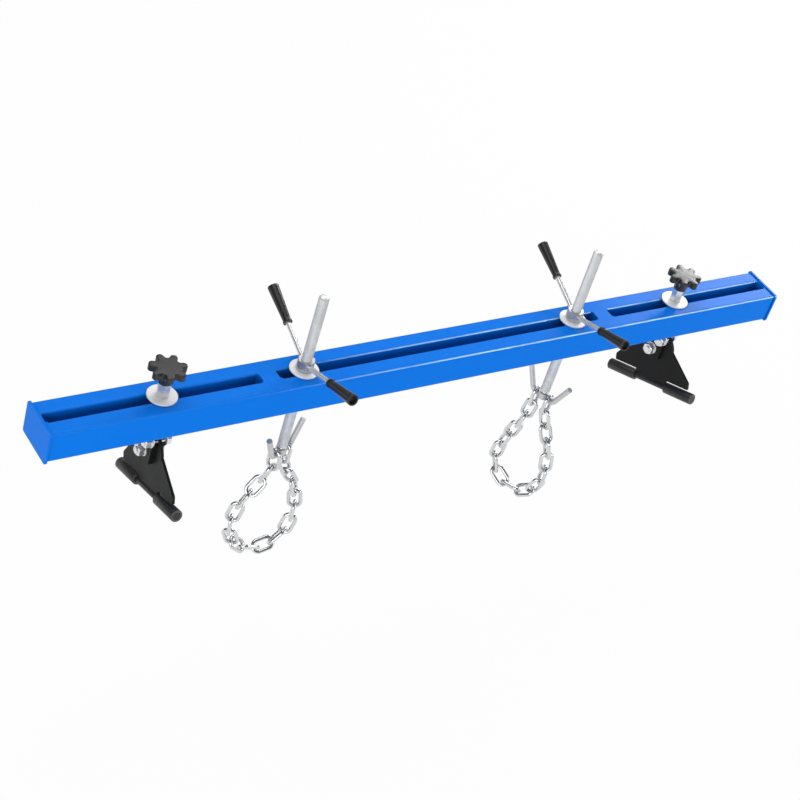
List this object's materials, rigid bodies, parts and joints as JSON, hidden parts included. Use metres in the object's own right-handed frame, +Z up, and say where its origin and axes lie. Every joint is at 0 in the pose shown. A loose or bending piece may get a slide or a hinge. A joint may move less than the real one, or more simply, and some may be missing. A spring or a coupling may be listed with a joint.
{
  "type": "engine support beam",
  "caption": "Blue slotted engine support beam with two tilting clamp feet and two lifting screws that carry double hooks and chain slings",
  "frame": {"origin": "the middle of the beam's length and width, on the plane of the rails' top faces", "axes": "+X along the beam to the right of the picture, +Y to the back, +Z up"},
  "size_m": [1.5, 0.2968, 0.5736],
  "materials": {
    "blue_paint": "gloss",
    "black_paint": "satin",
    "zinc": "bright zinc plated",
    "brass": "satin",
    "black_plastic": "satin",
    "rubber": "matte"
  },
  "bodies": {
    "beam": {"front_rail": "blue_paint", "rear_rail": "blue_paint", "spacer_left": "blue_paint", "spacer_right": "blue_paint", "end_plate_left": "blue_paint", "end_plate_right": "blue_paint"},
    "foot_slider_left": {"clamp_washer_left": "zinc"},
    "foot_swivel_left": {"clamp_stud_left": "zinc", "hanger_left": "black_paint", "pivot_bolt_left": "zinc", "lock_bolt_left": "zinc", "foot_nuts_left": "zinc", "foot_washers_left": "zinc"},
    "foot_left": {"foot_plate_left": "black_paint", "foot_rod_left": "black_paint", "sleeve_front_left": "rubber", "sleeve_rear_left": "rubber"},
    "clamp_knob_left": {"knob_left": "black_plastic", "knob_bush_left": "brass"},
    "foot_slider_right": {"clamp_washer_right": "zinc"},
    "foot_swivel_right": {"clamp_stud_right": "zinc", "hanger_right": "black_paint", "pivot_bolt_right": "zinc", "lock_bolt_right": "zinc", "foot_nuts_right": "zinc", "foot_washers_right": "zinc"},
    "foot_right": {"foot_plate_right": "black_paint", "foot_rod_right": "black_paint", "sleeve_front_right": "rubber", "sleeve_rear_right": "rubber"},
    "clamp_knob_right": {"knob_right": "black_plastic", "knob_bush_right": "brass"},
    "hoist_left": {"hoist_washer_left": "zinc"},
    "handle_left": {"handle_nut_left": "zinc", "arm_rear_left": "zinc", "arm_front_left": "zinc", "grip_rear_left": "black_plastic", "grip_front_left": "black_plastic"},
    "lift_left": {"lift_screw_left": "zinc", "hook_left": "zinc"},
    "sling_left": {"chain_left": "zinc"},
    "hoist_right": {"hoist_washer_right": "zinc"},
    "handle_right": {"handle_nut_right": "zinc", "arm_rear_right": "zinc", "arm_front_right": "zinc", "grip_rear_right": "black_plastic", "grip_front_right": "black_plastic"},
    "lift_right": {"lift_screw_right": "zinc", "hook_right": "zinc"},
    "sling_right": {"chain_right": "zinc"}
  },
  "joints": [
    {"name": "foot_slide_left", "type": "slide", "parent": "beam", "child": "foot_slider_left", "axis": [1, 0, 0], "range_m": [-0.177, 0.1695]},
    {"name": "foot_turn_left", "type": "hinge", "parent": "foot_slider_left", "child": "foot_swivel_left", "pos_m": [-0.543, 0, 0], "axis": [0, 0, 1], "continuous": true},
    {"name": "foot_lean_left", "type": "hinge", "parent": "foot_swivel_left", "child": "foot_left", "pos_m": [-0.543, 0, -0.108], "axis": [0.9999, -0.0105, 0], "range_deg": [-8.7, 41.3]},
    {"name": "knob_spin_left", "type": "hinge", "parent": "foot_swivel_left", "child": "clamp_knob_left", "pos_m": [-0.543, 0, 0.031], "axis": [0, 0, 1], "continuous": true},
    {"name": "foot_slide_right", "type": "slide", "parent": "beam", "child": "foot_slider_right", "axis": [1, 0, 0], "range_m": [-0.148, 0.1985]},
    {"name": "foot_turn_right", "type": "hinge", "parent": "foot_slider_right", "child": "foot_swivel_right", "pos_m": [0.5215, 0, 0], "axis": [0, 0, 1], "continuous": true},
    {"name": "foot_lean_right", "type": "hinge", "parent": "foot_swivel_right", "child": "foot_right", "pos_m": [0.5215, 0, -0.108], "axis": [0.9799, 0.1994, 0], "range_deg": [-8.7, 41.3]},
    {"name": "knob_spin_right", "type": "hinge", "parent": "foot_swivel_right", "child": "clamp_knob_right", "pos_m": [0.5215, 0, 0.031], "axis": [0, 0, 1], "continuous": true},
    {"name": "hoist_slide_left", "type": "slide", "parent": "beam", "child": "hoist_left", "axis": [1, 0, 0], "range_m": [-0.039, 0.119]},
    {"name": "handle_spin_left", "type": "hinge", "parent": "hoist_left", "child": "handle_left", "pos_m": [-0.284, 0, 0.003], "axis": [0, 0, 1], "range_deg": [-8640, 17280]},
    {"name": "lift_left", "type": "slide", "parent": "hoist_left", "child": "lift_left", "axis": [0, 0, 1], "range_m": [-0.1205, 0.0605]},
    {"name": "sling_swing_left", "type": "hinge", "parent": "lift_left", "child": "sling_left", "pos_m": [-0.284, 0, -0.181], "axis": [0.9225, 0.3859, 0], "range_deg": [-30, 30]},
    {"name": "hoist_slide_right", "type": "slide", "parent": "beam", "child": "hoist_right", "axis": [1, 0, 0], "range_m": [-0.114, 0.044]},
    {"name": "handle_spin_right", "type": "hinge", "parent": "hoist_right", "child": "handle_right", "pos_m": [0.279, 0, 0.003], "axis": [0, 0, 1], "range_deg": [-8640, 17280]},
    {"name": "lift_right", "type": "slide", "parent": "hoist_right", "child": "lift_right", "axis": [0, 0, 1], "range_m": [-0.1205, 0.0605]},
    {"name": "sling_swing_right", "type": "hinge", "parent": "lift_right", "child": "sling_right", "pos_m": [0.279, 0, -0.181], "axis": [0.274, -0.9617, 0], "range_deg": [-30, 30]}
  ],
  "couplings": [
    {"joint": "lift_left", "follows": "handle_spin_left", "m_per_rad": -0.00039789},
    {"joint": "lift_right", "follows": "handle_spin_right", "m_per_rad": -0.00039789}
  ]
}
